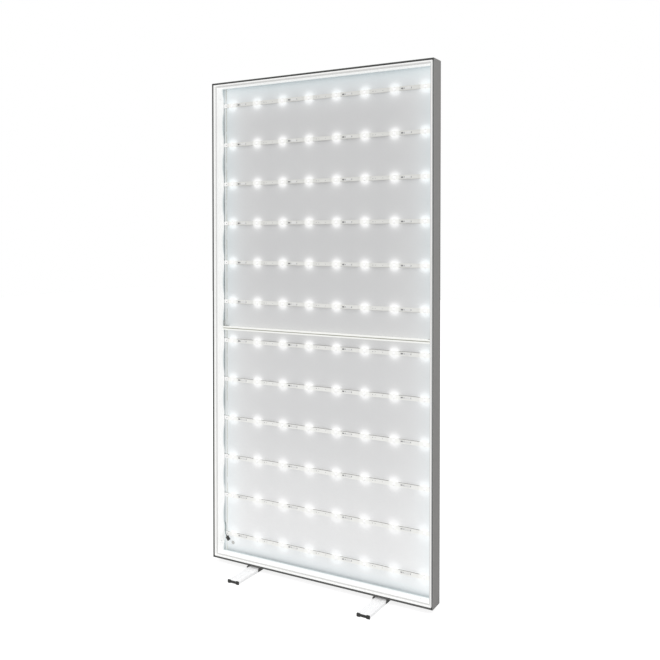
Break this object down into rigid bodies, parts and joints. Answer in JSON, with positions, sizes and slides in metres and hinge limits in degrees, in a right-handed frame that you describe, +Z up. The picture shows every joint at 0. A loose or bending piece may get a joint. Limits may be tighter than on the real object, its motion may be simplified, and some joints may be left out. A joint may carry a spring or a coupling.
{
  "type": "led panel light",
  "caption": "Free-standing backlit panel: a deep aluminium frame with fabric grooves, rows of LED bars over a white liner, a crossbar and swivel feet.",
  "frame": {"origin": "on the floor, under the middle of the frame", "axes": "+X to the right seen from the lit side, +Y to the back, +Z up; the light shines towards -Y"},
  "size_m": [1, 0.352, 2.018],
  "materials": {
    "anodised_aluminium": "satin anodised silver grey outside, white-coated inside the light chamber",
    "foot_aluminium": "satin anodised, lightly ribbed",
    "zinc_steel": "zinc plated",
    "white_coated_metal": "satin white",
    "crossbar_white": "satin white over an aluminium tube",
    "led_board_white": "white solder mask",
    "white_liner_fabric": "fine plain weave, matt",
    "silicone": "translucent white silicone",
    "black_plastic": "fine moulded texture",
    "white_rubber": "matt",
    "grey_lead": "satin insulation",
    "led_lens": "clear moulded lens, lit"
  },
  "bodies": {
    "root": {"frame_profile_left": "anodised_aluminium", "frame_profile_top": "anodised_aluminium", "frame_profile_right": "anodised_aluminium", "frame_profile_bottom": "anodised_aluminium", "corner_key_bottom_left": "zinc_steel", "corner_key_top_left": "zinc_steel", "corner_key_top_right": "zinc_steel", "corner_key_bottom_right": "zinc_steel", "grub_screw_left_1": "zinc_steel", "grub_screw_left_2": "zinc_steel", "grub_screw_top_1": "zinc_steel", "grub_screw_top_2": "zinc_steel", "grub_screw_right_1": "zinc_steel", "grub_screw_right_2": "zinc_steel", "grub_screw_bottom_1": "zinc_steel", "grub_screw_bottom_2": "zinc_steel", "rear_liner": "white_liner_fabric", "liner_bead_left": "silicone", "liner_bead_top": "silicone", "liner_bead_right": "silicone", "liner_bead_bottom": "silicone", "carrier_rail_left": "white_coated_metal", "carrier_rail_right": "white_coated_metal", "led_bar_01": "led_board_white", "led_bar_02": "led_board_white", "led_bar_03": "led_board_white", "led_bar_04": "led_board_white", "led_bar_05": "led_board_white", "led_bar_06": "led_board_white", "led_bar_07": "led_board_white", "led_bar_08": "led_board_white", "led_bar_09": "led_board_white", "led_bar_10": "led_board_white", "led_bar_11": "led_board_white", "led_bar_12": "led_board_white", "crossbar": "crossbar_white", "crossbar_bracket_left": "zinc_steel", "crossbar_bracket_right": "zinc_steel", "crossbar_screw_left": "zinc_steel", "crossbar_screw_right": "zinc_steel", "wiring_harness": "grey_lead", "dc_socket": "black_plastic", "inlet_grommet": "white_rubber", "foot_nut_plate_left": "zinc_steel", "foot_bolt_left": "zinc_steel", "foot_nut_plate_right": "zinc_steel", "foot_bolt_right": "zinc_steel"},
    "foot_left": {"foot_bar_left": "foot_aluminium", "foot_saddle_left": "black_plastic", "foot_cap_left_front": "black_plastic", "foot_cap_left_rear": "black_plastic"},
    "foot_right": {"foot_bar_right": "foot_aluminium", "foot_saddle_right": "black_plastic", "foot_cap_right_front": "black_plastic", "foot_cap_right_rear": "black_plastic"}
  },
  "joints": [
    {"name": "foot_left_swivel", "type": "hinge", "parent": "root", "child": "foot_left", "pos_m": [-0.29, 0, 0.0155], "axis": [0, 0, 1], "range_deg": [-90, 90]},
    {"name": "foot_right_swivel", "type": "hinge", "parent": "root", "child": "foot_right", "pos_m": [0.29, 0, 0.0155], "axis": [0, 0, 1], "range_deg": [-90, 90]}
  ]
}
